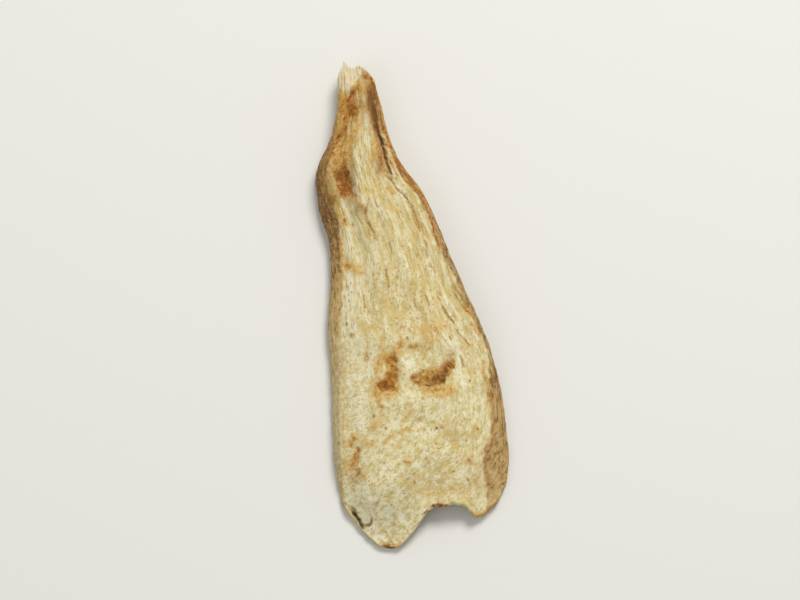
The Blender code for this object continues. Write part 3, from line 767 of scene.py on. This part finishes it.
# Brown cracks and hairlines, the middles of spots, and the browned edge of the knob, with painted shade
# along the furrow beside the neck's crest, and partly painted shade in the neck's crack and on the
# notch's thin edge.
KNOB_EDGE = [
    (-6.1, 71.4), (-6.8, 69.8), (-7.7, 68.6), (-8.4, 67.1), (-8.6, 65.6), (-8.4, 64.2), (-8.0, 61.5),
]
BROWN_AND_SHADE_MARKS = [
    # Painted shade along the furrow between the neck's crest and its rolled edge.
    ([(2.8, 81.8), (2.7, 80.0), (2.7, 78.0), (2.7, 76.0), (2.7, 74.6)], 0.4, 0.7),
    # Brown in the neck's crack, partly painted shade.
    (NECK_CRACK, 0.27, 0.95),
    ([(3.4, 71.4), (3.9, 71.2)], 0.2, 0.8),
    (SIDE_CRACK, 0.17, 0.65),
    (KNOB_EDGE, 0.3, 0.6),
    ([(-5.4, 66.0), (-5.0, 64.8), (-4.9, 63.6)], 1.0, 0.5),
    ([(2.1, 81.0), (2.1, 78.0), (2.2, 76.4)], 0.6, 0.65),
    ([(2.4, 78.2), (2.5, 76.4)], 0.35, 0.7),
    ([(-5.9, 66.6), (-5.7, 65.8)], 0.35, 0.6),
    ([(-4.5, 66.4), (-4.3, 65.8)], 0.35, 0.6),
    ([(-5.2, 65.2), (-4.9, 64.4)], 0.4, 0.6),
    ([(-2.0, 78.9), (-1.8, 78.4)], 0.35, 0.5),
    ([(-4.5, 74.0), (-4.8, 73.7)], 0.3, 0.6),
    ([(4.1, 67.6), (4.1, 67.4)], 0.2, 0.8),
    ([(2.3, 68.6), (2.4, 66.9)], 0.3, 0.6),
    ([(-5.4, 31.6), (-5.3, 31.0)], 0.35, 0.5),
    ([(-1.2, 10.8), (-0.7, 10.6)], 0.35, 0.5),
    ([(2.6, 32.0), (3.4, 31.8)], 0.35, 0.45),
    ([(0.8, 32.6), (1.2, 32.2)], 0.35, 0.4),
    ([(-4.0, 21.7), (-3.8, 21.4)], 0.35, 0.5),
    ([(-7.6, 36.0), (-7.2, 35.8)], 0.3, 0.4),
    ([(1.5, 35.9), (1.9, 35.7)], 0.25, 0.4),
    ([(6.2, 16.4), (6.6, 16.0)], 0.35, 0.4),
    ([(-1.9, 58.8), (-1.5, 57.1), (-0.9, 54.5)], 0.16, 0.62),
    ([(0.1, 61.0), (0.5, 59.0)], 0.14, 0.52),
    ([(-0.9, 60.7), (-1.6, 58.7)], 0.14, 0.52),
    ([(6.7, 56.2), (7.2, 54.8)], 0.14, 0.52),
    ([(-1.9, 57.0), (-0.9, 54.8), (-0.8, 53.1)], 0.16, 0.6),
    ([(1.7, 52.4), (2.0, 50.2)], 0.15, 0.52),
    ([(0.5, 47.1), (0.4, 43.7)], 0.18, 0.52),
    ([(-4.2, 43.2), (-4.4, 40.8)], 0.12, 0.52),
    ([(8.0, 55.6), (8.3, 49.6)], 0.12, 0.52),
    ([(6.9, 41.3), (7.2, 39.2)], 0.2, 0.52),
    ([(9.6, 38.9), (11.4, 35.6)], 0.2, 0.75),
    ([(11.5, 34.2), (13.6, 31.0)], 0.17, 0.65),
    ([(11.5, 29.2), (11.9, 28.3), (11.7, 27.2)], 0.2, 0.7),
    ([(3.6, 18.7), (1.8, 18.2), (0.3, 16.8)], 0.14, 0.45),
    ([(2.8, 29.8), (3.6, 31.4), (4.8, 32.8), (6.2, 33.8), (7.6, 34.2)], 0.12, 0.26),
    ([(4.0, 29.8), (4.8, 31.2), (5.8, 32.2), (7.0, 33.0)], 0.12, 0.29),
    ([(5.0, 29.6), (5.6, 30.6), (6.6, 31.6)], 0.12, 0.26),
    ([(8.2, 33.6), (9.2, 32.2), (10.0, 30.6), (10.4, 29.2)], 0.12, 0.23),
    ([(7.6, 32.4), (8.6, 31.4), (9.2, 30.2)], 0.1, 0.2),
    ([(-11.4, 12.1), (-11.2, 10.0), (-11.0, 7.5)], 0.2, 0.16),
    ([(-11.2, 8.1), (-10.9, 7.5)], 0.3, 0.35),
    ([(-10.6, 1.7), (-10.0, 1.3), (-9.3, 1.2), (-8.7, 1.5), (-8.4, 2.3)], 0.26, 0.4),
    ([(-12.7, 5.9), (-12.3, 5.2), (-11.6, 5.0), (-11.2, 4.4)], 0.25, 0.45),
    ([(-7.1, -2.9), (-6.3, -3.0)], 0.35, 0.9),
    # The notch's thin edge: brown, partly painted shade.
    ([(0.8, 1.4), (2.0, 2.5), (2.8, 2.6), (3.9, 2.9), (4.7, 2.5), (5.4, 2.6), (6.1, 2.8)], 0.14, 0.8),
    ([(2.6, 2.7), (3.6, 2.9)], 0.18, 0.6),
]

# Small brown specks, all of one length, half width and strength.
SPECK_LENGTH = 0.2
SPECK_WIDTH = 0.2
SPECK_STRENGTH = 0.8
SPECKS = [
    (-5.7, 57.7), (6.5, 49.1), (2.2, 45.2), (-8.1, 38.3), (9.6, 41.3), (10.1, 32.6), (12.6, 24.3),
    (2.4, 33.3), (4.7, 36.9), (8.4, 46.9), (0.4, 43.7), (-5.9, 57.6), (-4.4, 56.6), (-4.4, 40.9),
    (-5.6, 20.0), (10.7, 17.2), (12.7, 15.4), (-3.8, 17.4), (-10.4, 15.6), (5.4, 16.2), (10.4, 9.7),
    (9.7, 6.5), (0.0, 7.1),
]
SPECK_MARKS = [
    ([(across, up), (across, up + SPECK_LENGTH)], SPECK_WIDTH, SPECK_STRENGTH) for across, up in SPECKS
]

# Painted shade in the depths of the cracks, the darkest spots low in the right pit, and the curled clump
# left of the tongue.
DARK_AND_SHADE_MARKS = [
    ([(4.5, 24.35), (5.3, 24.2)], 0.18, 0.75),
    ([(6.4, 25.5), (6.9, 25.9)], 0.16, 0.4),
    ([(7.3, 24.8), (8.0, 25.2), (8.4, 25.8)], 0.2, 0.5),
    # Painted shade in the neck's crack and along the furrow beside its crest.
    ([(2.8, 73.3), (3.1, 72.2), (3.4, 71.4)], 0.2, 0.95),
    ([(2.8, 78.4), (2.7, 76.4), (2.7, 75.0), (2.8, 73.4)], 0.2, 0.5),
    ([(3.2, 71.8), (3.2, 69.8), (3.4, 67.8), (3.8, 65.8)], 0.2, 0.6),
    ([(-11.6, 4.2), (-11.2, 3.4), (-10.8, 2.4)], 0.3, 1.0),
    ([(-11.2, 4.4), (-11.2, 3.4)], 0.16, 0.9),
    ([(-10.8, 2.4), (-10.6, 1.5), (-10.5, 1.0)], 0.34, 1.0),
    ([(-10.6, 1.7), (-10.0, 1.3), (-9.3, 1.2), (-8.7, 1.5), (-8.4, 2.3)], 0.16, 0.85),
    ([(-7.9, 3.4), (-7.2, 4.3), (-6.6, 4.9)], 0.12, 0.6),
    ([(-13.5, 5.1), (-12.6, 3.2)], 0.14, 0.7),
]

# Paler stretches of the flesh, and painted light low on the left of the face, where it slopes away from
# the key lamp.
PALE_AND_LIT_MARKS = [
    ([(0.5, 80.6), (0.6, 79.2)], 0.5, 0.5),
    ([(0.7, 76.6), (0.5, 74.0), (0.0, 72.0), (-1.3, 69.5), (-2.2, 66.5), (-2.4, 63.5)], 1.2, 0.5),
    ([(-5.7, 61.2), (-5.8, 59.8)], 0.5, 0.6),
    ([(-4.2, 60.8), (-4.1, 59.2)], 0.5, 0.6),
    ([(-5.6, 58.0), (-5.4, 52.0)], 0.8, 0.5),
    ([(-6.6, 46.6), (-7.4, 40.0), (-8.2, 34.0), (-8.6, 27.0)], 1.3, 0.55),
    ([(1.6, 29.4), (1.8, 27.4)], 1.0, 0.7),
    ([(10.8, 25.4), (11.2, 23.8)], 0.9, 0.7),
    ([(-6.4, 27.4), (-7.4, 22.6), (-7.6, 19.0)], 1.2, 0.6),
    ([(9.6, 32.2), (12.0, 29.4)], 0.9, 0.5),
    ([(11.4, 39.0), (13.4, 35.0)], 0.5, 0.5),
    # Painted light: this patch lightens the lower left of the face, which slopes away from the key lamp.
    ([(-9.0, 7.0), (-7.6, 4.8), (-5.6, 3.2), (-3.2, 0.6)], 2.2, 0.7),
    ([(-5.6, 29.0), (-6.4, 32.0)], 1.4, 0.4),
    ([(8.4, 41.6), (7.6, 38.4)], 1.3, 0.25),
    ([(4.6, 58.4), (5.2, 54.8), (5.2, 51.0)], 0.9, 0.25),
    ([(-9.6, 1.6), (-8.1, -0.5), (-6.8, -2.1)], 1.0, 0.9),
    ([(-4.0, 12.6), (-5.0, 9.6)], 1.4, 0.4),
    ([(14.4, 20.0), (14.2, 16.4)], 0.8, 0.5),
]

# Soft brown stains, mostly in the neck, the dimple and the pits.
STAINS = [
    ([(2.3, 82.2), (2.2, 80.0), (2.2, 78.0), (2.3, 76.0), (2.5, 74.0)], 0.9, 0.95),
    ([(2.5, 74.0), (2.6, 72.0), (2.5, 70.0), (2.3, 68.0), (2.0, 66.4)], 0.6, 0.6),
    ([(1.6, 69.0), (1.7, 67.4), (1.6, 66.0)], 0.6, 0.4),
    ([(0.6, 79.0), (0.5, 77.6)], 0.8, 0.35),
    ([(1.3, 85.2), (1.9, 84.0), (2.0, 82.4)], 0.9, 0.55),
    ([(3.5, 81.0), (3.6, 78.0), (3.9, 74.5), (4.3, 72.0), (4.6, 70.0), (4.9, 68.0)], 0.35, 0.5),
    ([(-5.3, 66.2), (-5.0, 64.8), (-5.0, 63.4)], 1.15, 0.8),
    ([(-1.8, 79.6), (-1.6, 78.4)], 0.9, 0.45),
    ([(-3.2, 75.4), (-3.5, 74.8), (-4.5, 73.9)], 0.7, 0.4),
    ([(-4.4, 73.0), (-4.6, 70.6), (-4.6, 68.0)], 1.0, 0.35),
    ([(9.4, 1.0), (10.6, 0.7), (12.4, 1.4)], 0.4, 0.2),
    ([(-6.0, 72.6), (-7.2, 69.6), (-8.0, 67.0), (-8.0, 64.6), (-7.2, 62.0)], 0.4, 0.4),
    ([(-3.4, 25.4), (-2.2, 25.7), (-1.8, 26.6)], 0.8, 0.5),
    ([(2.4, 26.4), (2.4, 25.4)], 0.4, 0.6),
    ([(3.4, 25.0), (4.6, 24.6), (6.0, 24.7), (7.4, 24.8)], 0.6, 0.7),
    ([(6.6, 25.8), (8.0, 25.9), (8.6, 27.2)], 0.95, 0.75),
    ([(8.8, 27.2), (9.4, 28.4), (9.9, 29.6)], 0.6, 0.5),
    ([(-10.3, 34.4), (-10.1, 31.6), (-10.5, 28.8)], 0.7, 0.4),
]


def spread(marks, x, y):
    """How strongly the nearest marks colour each point, from 0 to 1."""
    clear = 1
    for line, width, strength in marks:
        clear = clear * (1 - strength * bell(away_from(line, x, y), width))
    return 1 - clear


# Patches stray more than lines do.
WARP = 0.25
WARP_WAVE = [1.3, 2.0, 1.3]
mark_x = x + WARP * layered(smooth, WARP_WAVE, 31)
mark_y = y + WARP * layered(smooth, WARP_WAVE, 33)
line_x, line_y = x + across_stray / 2, y + along_stray / 2
red_grit = layered(smooth, 0.8, 30)
fine_grit = layered(smooth, 0.6, 29)

# Ochre fills both pits, and fades up the slope of the right one.
pit_fade = 1 - 0.6 * in_right_pit * (1 - ease(2.2 * right_slope))
ochre = above * spread(OCHRE_MARKS, mark_x, mark_y)
ochre = np.maximum(ochre, 1.5 * pit_fade * on_face * in_pits)

# Rust lines the rolled edge and lies in grains in the pits.
rust = above * spread(RUST_MARKS, mark_x, mark_y)
rust = np.maximum(rust, above * zone(from_side, 0.1, 0.4) * spread(LIP_LINES, line_x, line_y))
rust_share = 0.55 * in_right_pit + 0.7 * in_left_pit
rust = np.maximum(rust, on_face * rust_share * ease(0.5 - 1.2 * red_grit))

# Brown gathers in grains in the deepest part of the right pit, at its lower rim, and low in the left.
PIT_DEPTHS = [(6.6, 25.6), (7.6, 25.4), (8.6, 26.2), (9.4, 27.2)]
pit_shade = bell(away_from(PIT_DEPTHS, x, y), 1.15)
pit_rim = bell(over_edge - 0.25, 0.25) * in_reach * zone(x, 9.0, 7.5)
browns = [
    above * spread(BROWN_AND_SHADE_MARKS, line_x, line_y),
    above * spread(SPECK_MARKS, x, y),
    on_face * in_right_pit * ease(1.4 * pit_shade - 0.6 - 0.5 * grit - 0.8 * fine_grit),
    on_face * in_left_pit * ease(-1.2 * grit) * zone(y, 28.5, 25.5) * 0.6,
    on_face * 0.6 * pit_rim,
]
brown = np.maximum.reduce(browns)
dark = above * spread(DARK_AND_SHADE_MARKS, line_x, line_y)
dark = np.maximum(dark, on_face * 0.45 * pit_rim * ease(0.5 - 1.5 * fine_grit) * zone(x, 3.2, 4.2))

# Pale crumbs lie on the right pit's floor, and a painted highlight glints at its left end; both are
# clear of the other colours.
# Painted highlight: a glint at the right pit's left end.
PAINTED_GLINT = ([(3.0, 25.6), (3.3, 25.7)], 0.26, 0.95)
crumbs_and_glint = 0.7 * on_face * in_right_pit * ease(2.2 * red_grit + 0.8 * fine_grit - 1.1)
crumbs_and_glint = np.maximum(crumbs_and_glint, spread([PAINTED_GLINT], x, y))
pale_and_lit = above * spread(PALE_AND_LIT_MARKS, mark_x, mark_y) * (1 - in_pits)
pale_and_lit = np.maximum(pale_and_lit, crumbs_and_glint)
ochre, rust, brown = (mark * (1 - crumbs_and_glint) for mark in (ochre, rust, brown))
stain = above * spread(STAINS, mark_x, mark_y)

# Fine ochre flecks lie thickest above the pits and low on the right.
freckled = 0.45 + 0.55 * bell(x - 4, 7) * bell(y - 38, 7)
freckled = np.maximum(freckled, 0.8 * bell(x - 6, 7) * bell(y - 12, 9))

# The skin begins at these lines, each given as places across (second) at places along (first). Its
# tone goes from grey cream (0) through tan (0.5) to dark brown (1).
SKIN_LEFT = [
    (6.0, -13.0), (10.0, -12.8), (17.7, -12.0), (28.5, -10.7), (37.7, -9.5), (43.8, -8.1), (53.0, -7.2),
    (57.0, -6.8), (62.0, -7.4), (64.3, -8.3), (66.4, -8.8), (68.8, -7.6), (72.8, -5.5), (76.0, -4.6),
    (80.0, -4.1), (83.6, -3.8), (90.0, -3.8),
]
SKIN_RIGHT = [
    (0.7, 12.4), (3.4, 12.8), (7.8, 12.9), (11.4, 13.2), (12.4, 13.7), (13.1, 14.8), (17.2, 15.5),
    (21.5, 16.0), (24.0, 15.9), (27.4, 16.6), (30.3, 16.7), (33.1, 15.8), (37.0, 14.7), (42.9, 13.2),
] + [(up, across) for across, up in LIP_INNER[::-1]]
wobble = 0.35 * layered(smooth, [1.6, 2.4, 1.6], 36)
from_left, from_right = x - straight(SKIN_LEFT, y), straight(SKIN_RIGHT, y) - x
skin = above * ease((0.25 + wobble - np.minimum(from_left, from_right)) / 0.5)
# Up the left the skin deepens to dark brown at the knob and neck, partly its brown skin and partly
# painted shade.
LEFT_TONE = [
    (-3, 0.3), (24, 0.14), (31, 0.34), (38, 0.42), (45, 0.58), (51, 0.74), (55, 0.82), (60, 0.9),
    (72, 0.88), (79, 0.6), (86, 0.4),
]
RIGHT_TONE = [
    (0, 0.5), (9, 0.6), (14, 0.68), (20, 0.65), (28, 0.72), (46, 0.74), (60, 0.68), (75, 0.62),
    (86, 0.65),
]
tone = straight(LEFT_TONE, y) * (1 - right_side) + straight(RIGHT_TONE, y) * right_side

# The torn flesh of the tip begins at this jagged line.
TORN_EDGE = [
    (-4.1, 83.4), (-3.6, 82.0), (-3.2, 83.6), (-2.7, 81.8), (-2.2, 83.0), (-1.9, 80.8), (-1.4, 82.3),
    (-0.7, 83.3), (0.4, 84.3), (1.0, 84.9), (1.6, 88.0),
]
torn = ease((y - straight(TORN_EDGE, x) + 0.35 * noise(fibre, [0.5, 9, 9], 35)) / 0.35) * above

# Painted shade: hollows of the fine relief are a little darker.
hollow_shade = np.clip(-fine / 0.16, 0, 1)


def stored(name, kind, values):
    """Writes one value for each point of the grid to the mesh, as an attribute."""
    values = values[source_row]
    values = values.reshape((-1,) + values.shape[2:])[used]
    attribute = mesh.attributes.new(name, kind, "POINT")
    attribute.data.foreach_set("vector" if kind == "FLOAT_VECTOR" else "color", values.ravel())


stored("fibre", "FLOAT_VECTOR", fibre)
stored("marks", "FLOAT_COLOR", np.stack([ochre, rust, brown, dark], axis=-1))
stored("tissue", "FLOAT_COLOR", np.stack([skin, torn, fibrous * on_face, tone], axis=-1))
stored("paleness_and_shade", "FLOAT_COLOR", np.stack([pale_and_lit, hollow_shade, stain, freckled], axis=-1))


def shade(red, green, blue):
    """A colour as a screen shows it, from 0 to 255, as Blender's linear one."""
    share = np.array([red, green, blue]) / 255
    linear = np.where(share < 0.04045, share / 12.92, ((share + 0.055) / 1.055) ** 2.4)
    return (*linear.tolist(), 1)


# The colours of the flesh, of its marks, and of the skin.
PALE = shade(234, 230, 202)
CREAM = shade(221, 214, 172)
STRAW = shade(205, 192, 138)
HONEY = shade(195, 171, 103)
GOLD = shade(210, 178, 102)
OCHRE = shade(186, 136, 62)
RUST_PALE = shade(184, 130, 54)
RUST = shade(142, 78, 26)
BROWN = shade(120, 78, 36)
STAIN = shade(146, 99, 54)
LINE_TAN = shade(172, 130, 70)
DULL = shade(186, 170, 130)
FRECKLE = shade(172, 132, 66)
THREAD = shade(180, 150, 86)
DEEP_BROWN_AND_SHADE = shade(56, 38, 22)
TORN_WHITE = shade(214, 204, 170)
SKIN_GREY = shade(204, 192, 148)
SKIN_TAN = shade(184, 154, 98)
SKIN_DARK = shade(120, 82, 44)

flesh = bpy.data.materials.new("dried_flesh_finish")
flesh.use_nodes = True
nodes, links = flesh.node_tree.nodes, flesh.node_tree.links
shader = nodes["Principled BSDF"]


def put(socket, value):
    """Links a socket to another node's output, or sets its plain value."""
    if isinstance(value, bpy.types.NodeSocket):
        links.new(value, socket)
    else:
        socket.default_value = value


def attribute(name):
    """A node that reads one of the mesh's attributes."""
    made = nodes.new("ShaderNodeAttribute")
    made.attribute_name = name
    return made


def worked_out(kind, first, second):
    """What a math node of this kind makes of two values."""
    made = nodes.new("ShaderNodeMath")
    made.operation = kind
    put(made.inputs[0], first)
    put(made.inputs[1], second)
    return made.outputs[0]


def times(first, second):
    """The product of two values."""
    return worked_out("MULTIPLY", first, second)


def plus(first, second):
    """The sum of two values."""
    return worked_out("ADD", first, second)


def less(first, second):
    """The first value less the second."""
    return worked_out("SUBTRACT", first, second)


def stretched(vector, factors):
    """The vector with each of its parts times a factor."""
    made = nodes.new("ShaderNodeVectorMath")
    made.operation = "MULTIPLY"
    put(made.inputs[0], vector)
    put(made.inputs[1], factors)
    return made.outputs[0]


def clouds(vector, size, detail, rough):
    """Noise from 0 to 1 with patches of about this size."""
    made = nodes.new("ShaderNodeTexNoise")
    put(made.inputs["Vector"], vector)
    made.inputs["Scale"].default_value = 1 / size
    made.inputs["Detail"].default_value = detail
    made.inputs["Roughness"].default_value = rough
    return made.outputs["Fac"]


def between(value, low, high):
    """0 below low, 1 above high, and a smooth step between."""
    made = nodes.new("ShaderNodeMapRange")
    made.interpolation_type = "SMOOTHSTEP"
    put(made.inputs["Value"], value)
    made.inputs["From Min"].default_value = low
    made.inputs["From Max"].default_value = high
    return made.outputs["Result"]


def mixed(share, first, second):
    """From the first colour to the second by the share."""
    made = nodes.new("ShaderNodeMix")
    made.data_type = "RGBA"
    put(made.inputs[0], share)
    put(made.inputs[6], first)
    put(made.inputs[7], second)
    return made.outputs[2]


def coated(ground, coats):
    """A ground colour under coats of other colours, each laid on by its share, the last on top."""
    for share, coat in coats:
        ground = mixed(share, ground, coat)
    return ground


def parts(name):
    """The four parts of a colour attribute."""
    source = attribute(name)
    split = nodes.new("ShaderNodeSeparateColor")
    links.new(source.outputs["Color"], split.inputs[0])
    return [*split.outputs, source.outputs["Alpha"]]


def patchy(part, least, most):
    """A mask times a grainy pattern that runs from least to most."""
    return times(part, plus(times(between(grain, 0.42, 0.58), most - least), least))


ochre_part, rust_part, brown_part, dark_part = parts("marks")
skin_part, torn_part, fibrous_part, tone_part = parts("tissue")
pale_and_lit_part, hollow_shade_part, stain_part, freckled_part = parts("paleness_and_shade")
threads_at = attribute("fibre").outputs["Vector"]
spot_at = stretched(nodes.new("ShaderNodeTexCoord").outputs["Object"], (1 / MM, 1 / MM, 1 / MM))

# Noises of the flesh, by size, detail and roughness: the first two even, the others along its fibres.
blotch = clouds(spot_at, 3.6, 6, 0.68)
grain = clouds(spot_at, 0.75, 6, 0.85)
mottle = clouds(stretched(threads_at, (1, 0.55, 1)), 1.7, 7, 0.72)
speckle = clouds(stretched(threads_at, (1, 0.8, 1)), 0.9, 6, 0.85)
flecks = clouds(stretched(threads_at, (1.1, 0.75, 1)), 0.42, 2, 0.55)
short_threads = clouds(stretched(threads_at, (1, 0.24, 1)), 0.8, 5, 0.8)
long_threads = clouds(stretched(threads_at, (1, 0.12, 1)), 0.55, 4, 0.65)
bands = clouds(stretched(threads_at, (1, 0.17, 1)), 1.3, 3, 0.6)
skin_threads = clouds(stretched(threads_at, (1, 0.55, 1)), 0.8, 6, 0.85)

# The texture is speckled low on the face and turns to short threads where the fibres show.
thread_mix = nodes.new("ShaderNodeMix")
put(thread_mix.inputs[0], plus(0.1, times(fibrous_part, 0.7)))
put(thread_mix.inputs[2], speckle)
put(thread_mix.inputs[3], short_threads)
texture = thread_mix.outputs[0]

# Hairlines are the peaks of long narrow noise, in places that a second noise chooses.
line_noise = clouds(stretched(threads_at, (1, 0.11, 1)), 0.45, 1, 0.5)
line_places = between(clouds(stretched(threads_at, (0.6, 0.3, 0.6)), 1.4, 2, 0.5), 0.46, 0.56)
hairline = times(between(line_noise, 0.62, 0.68), line_places)
hairline = times(hairline, plus(0.2, times(fibrous_part, 0.8)))

# Pores are the middles of some cells of a cell pattern.
PORE_SPACING = 0.8
cells = nodes.new("ShaderNodeTexVoronoi")
put(cells.inputs["Vector"], stretched(threads_at, (1, 0.7, 1)))
cells.inputs["Scale"].default_value = 1 / PORE_SPACING
chance = nodes.new("ShaderNodeSeparateColor")
links.new(cells.outputs["Color"], chance.inputs[0])
pore = between(plus(cells.outputs["Distance"], times(chance.outputs[0], 0.3)), 0.32, 0.14)

# The cut face: cream flesh under its texture, a little painted shade in the hollows of its fine relief,
# paler stretches with painted light, then its marks, then hairlines and pores.
ochre_colour = mixed(between(grain, 0.4, 0.6), GOLD, OCHRE)
rust_colour = mixed(between(grain, 0.4, 0.6), RUST_PALE, RUST)
cut_coats = [
    (times(between(mottle, 0.42, 0.6), 0.85), STRAW),
    (times(between(texture, 0.495, 0.58), 0.82), HONEY),
    (times(between(texture, 0.51, 0.425), 0.68), PALE),
    (times(fibrous_part, 0.22), DULL),
    (times(between(bands, 0.5, 0.6), times(fibrous_part, 0.7)), HONEY),
    (times(between(bands, 0.49, 0.4), times(fibrous_part, 0.35)), PALE),
    (times(between(flecks, 0.59, 0.65), freckled_part), FRECKLE),
    (times(between(blotch, 0.52, 0.62), 0.5), GOLD),
    (times(between(long_threads, 0.53, 0.65), times(fibrous_part, 0.85)), THREAD),
    # Painted shade in the hollows of the fine relief.
    (times(hollow_shade_part, 0.4), HONEY),
    # Paler stretches of the flesh, and painted light low on the left.
    (times(pale_and_lit_part, between(texture, 0.6, 0.44)), PALE),
    (patchy(ochre_part, 0.7, 1.35), ochre_colour),
    (patchy(stain_part, 0.75, 1.15), STAIN),
    (patchy(rust_part, 0.8, 1.35), rust_colour),
    (times(hairline, 0.85), LINE_TAN),
    (times(pore, 0.6), FRECKLE),
]
cut_colour = coated(CREAM, cut_coats)

# The skin: its tone, streaked along the fibres, with grey cream grains and the marks that reach it.
skin_tone = plus(tone_part, times(less(skin_threads, 0.5), 3.2))
skin_coats = [
    (between(skin_tone, 0.05, 0.5), SKIN_TAN),
    (between(skin_tone, 0.5, 1.0), SKIN_DARK),
    (times(between(grain, 0.54, 0.64), less(1.15, tone_part)), SKIN_GREY),
    (patchy(ochre_part, 0.4, 0.9), ochre_colour),
    (patchy(rust_part, 0.6, 1.2), rust_colour),
]
skin_colour = coated(SKIN_GREY, skin_coats)

# All together. A brown mark ends in a tan edge on clear flesh, and in brown on rust and stains.
torn_colour = mixed(between(long_threads, 0.49, 0.67), TORN_WHITE, OCHRE)
brown_share = patchy(brown_part, 0.6, 1.2)
edge_colour = mixed(worked_out("MAXIMUM", rust_part, stain_part), LINE_TAN, BROWN)
all_coats = [
    (skin_part, skin_colour),
    (torn_part, torn_colour),
    (times(brown_share, 1.5), mixed(brown_share, edge_colour, BROWN)),
    # Near black for the clump and the pit's spots, and painted shade in the cracks.
    (patchy(dark_part, 0.75, 1.1), DEEP_BROWN_AND_SHADE),
]
links.new(coated(cut_colour, all_coats), shader.inputs["Base Color"])
links.new(less(0.92, times(skin_part, 0.12)), shader.inputs["Roughness"])
shader.inputs["Specular IOR Level"].default_value = 0.18

# The finest relief: mottle and threads stand up; texture, hairlines, pores and dark marks are sunk.
FINEST_RELIEF = 0.15
rise = plus(less(times(mottle, 0.35), times(texture, 0.6)), times(long_threads, plus(0.2, fibrous_part)))
rise = less(rise, times(plus(hairline, pore), 0.5))
rise = less(rise, times(plus(brown_part, dark_part), 0.4))
bump = nodes.new("ShaderNodeBump")
bump.inputs["Strength"].default_value = 0.8
bump.inputs["Distance"].default_value = FINEST_RELIEF * MM
links.new(rise, bump.inputs["Height"])
links.new(bump.outputs["Normal"], shader.inputs["Normal"])

slice_piece = bpy.data.objects.new("mushroom_slice_flesh", mesh)
slice_piece.data.materials.append(flesh)
bpy.context.scene.collection.objects.link(slice_piece)
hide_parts("mushroom_slice")
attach(slice_piece, "root")

bpy.context.view_layer.update()
